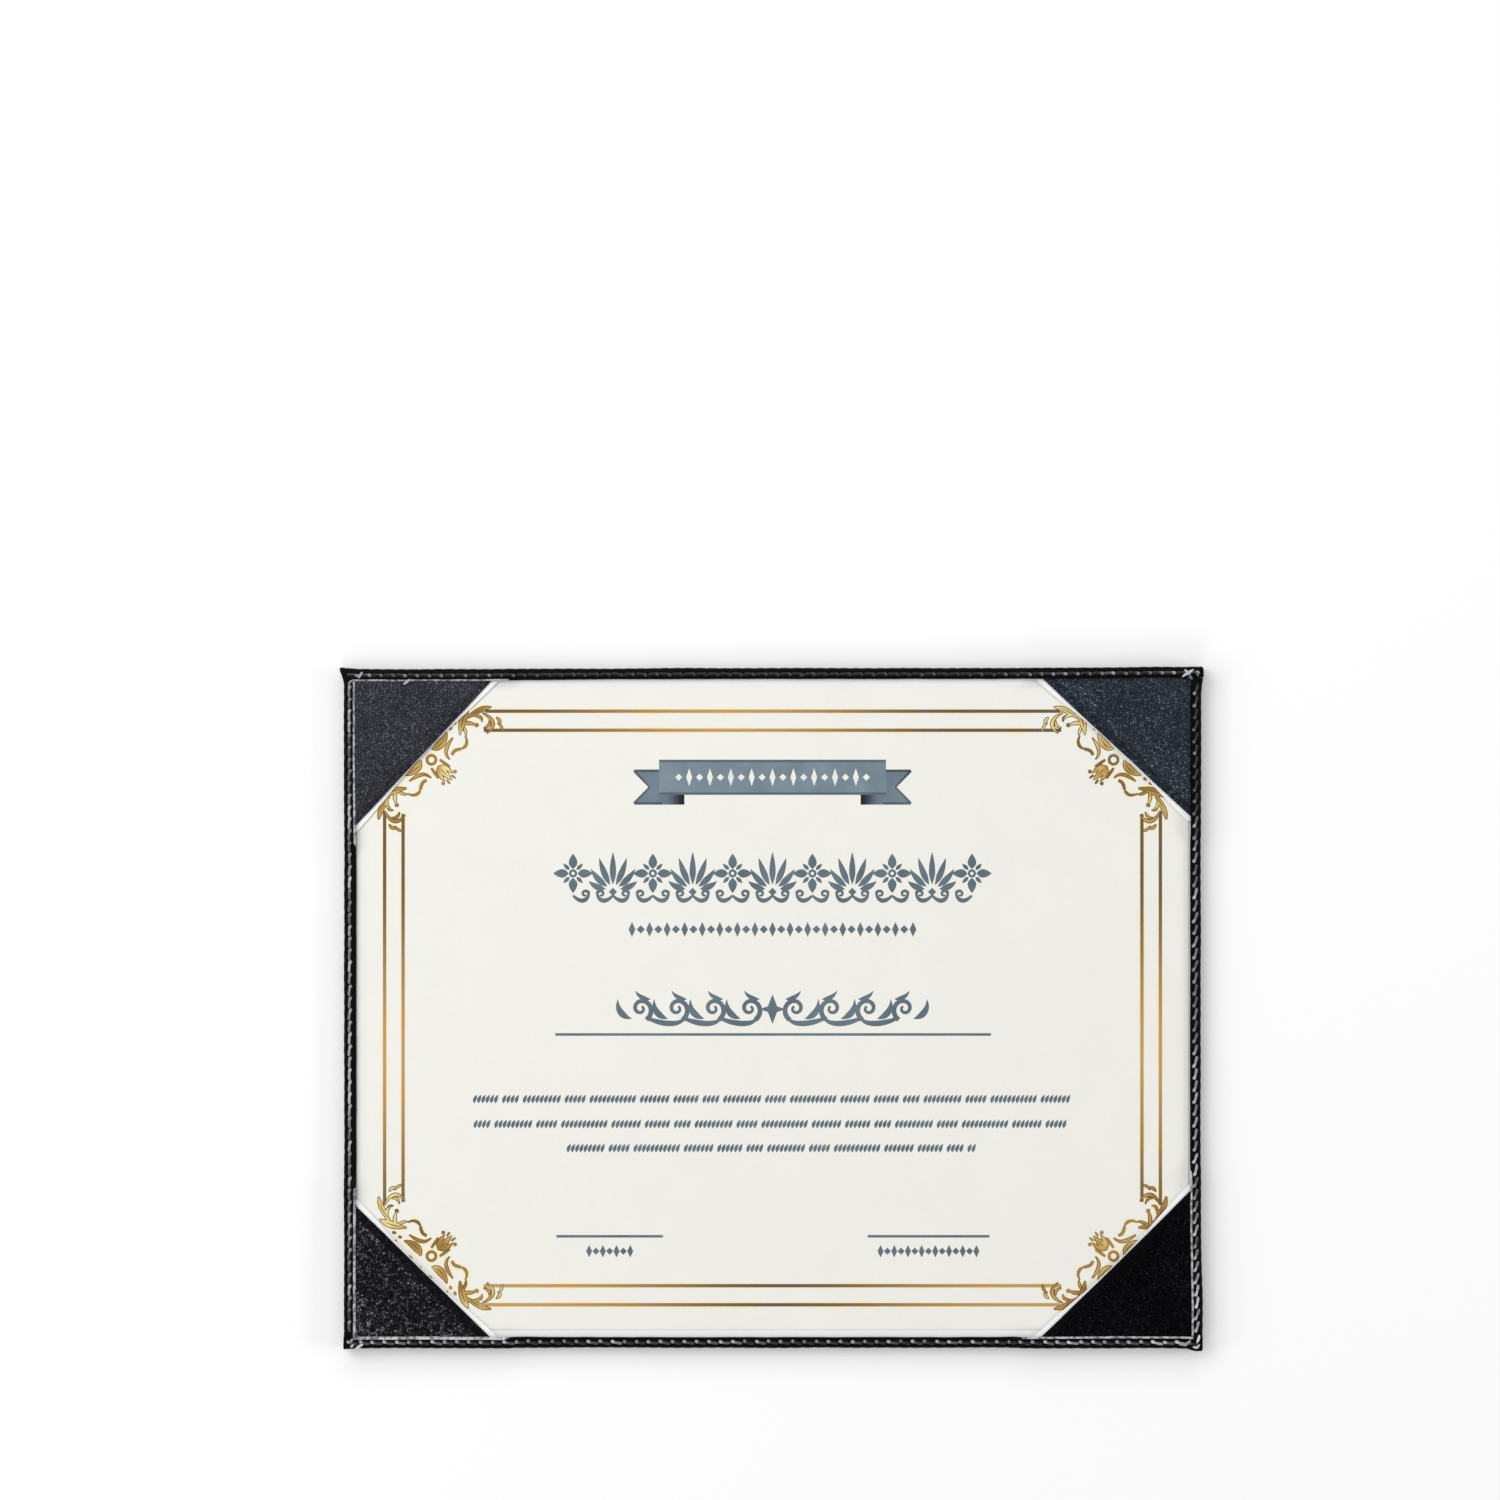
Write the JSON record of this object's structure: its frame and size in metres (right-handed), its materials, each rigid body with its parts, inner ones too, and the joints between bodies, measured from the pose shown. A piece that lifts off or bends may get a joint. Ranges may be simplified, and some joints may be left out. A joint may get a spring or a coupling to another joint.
{
  "type": "certificate holder",
  "caption": "Flat leatherette certificate holder: a stiff board with a folded, sewn rim and corner pockets that keep one landscape sheet on its lined face.",
  "frame": {"origin": "middle of the plane that the holder lies on, under the centre of its outline", "axes": "+X along the long side, towards the right of the certificate; +Y towards the certificate's top edge; +Z out of the front face"},
  "size_m": [0.2878, 0.2284, 0.0066],
  "materials": {
    "cover_leatherette": "satin",
    "binding_leatherette": "satin",
    "pocket_leatherette": "satin",
    "pocket_backing": "matte",
    "lining_paper": "matte",
    "grey_board": "matte",
    "certificate_paper": "matte",
    "seam_thread": "satin"
  },
  "bodies": {
    "holder": {"back_cover": "cover_leatherette", "stiffener_board": "grey_board", "front_lining": "lining_paper", "pocket_lining_top_left": "pocket_backing", "pocket_lining_top_right": "pocket_backing", "pocket_lining_bottom_left": "pocket_backing", "pocket_lining_bottom_right": "pocket_backing", "pocket_top_left": "pocket_leatherette", "pocket_top_right": "pocket_leatherette", "pocket_bottom_left": "pocket_leatherette", "pocket_bottom_right": "pocket_leatherette", "binding_bottom": "binding_leatherette", "binding_right": "binding_leatherette", "binding_top": "binding_leatherette", "binding_left": "binding_leatherette", "welt_bottom": "cover_leatherette", "welt_right": "cover_leatherette", "welt_top": "cover_leatherette", "welt_left": "cover_leatherette", "needle_thread_bottom": "seam_thread", "needle_thread_right": "seam_thread", "needle_thread_top": "seam_thread", "needle_thread_left": "seam_thread", "bobbin_thread_bottom": "seam_thread", "bobbin_thread_right": "seam_thread", "bobbin_thread_top": "seam_thread", "bobbin_thread_left": "seam_thread", "corner_tack_top_left": "seam_thread", "corner_tack_top_right": "seam_thread", "corner_tack_bottom_left": "seam_thread", "corner_tack_bottom_right": "seam_thread"},
    "certificate": {"certificate_sheet": "certificate_paper"}
  },
  "joints": [
    {"name": "certificate_slide", "type": "slide", "parent": "holder", "child": "certificate", "axis": [0, 1, 0], "range_m": [-0.0024, 0.0024]}
  ]
}
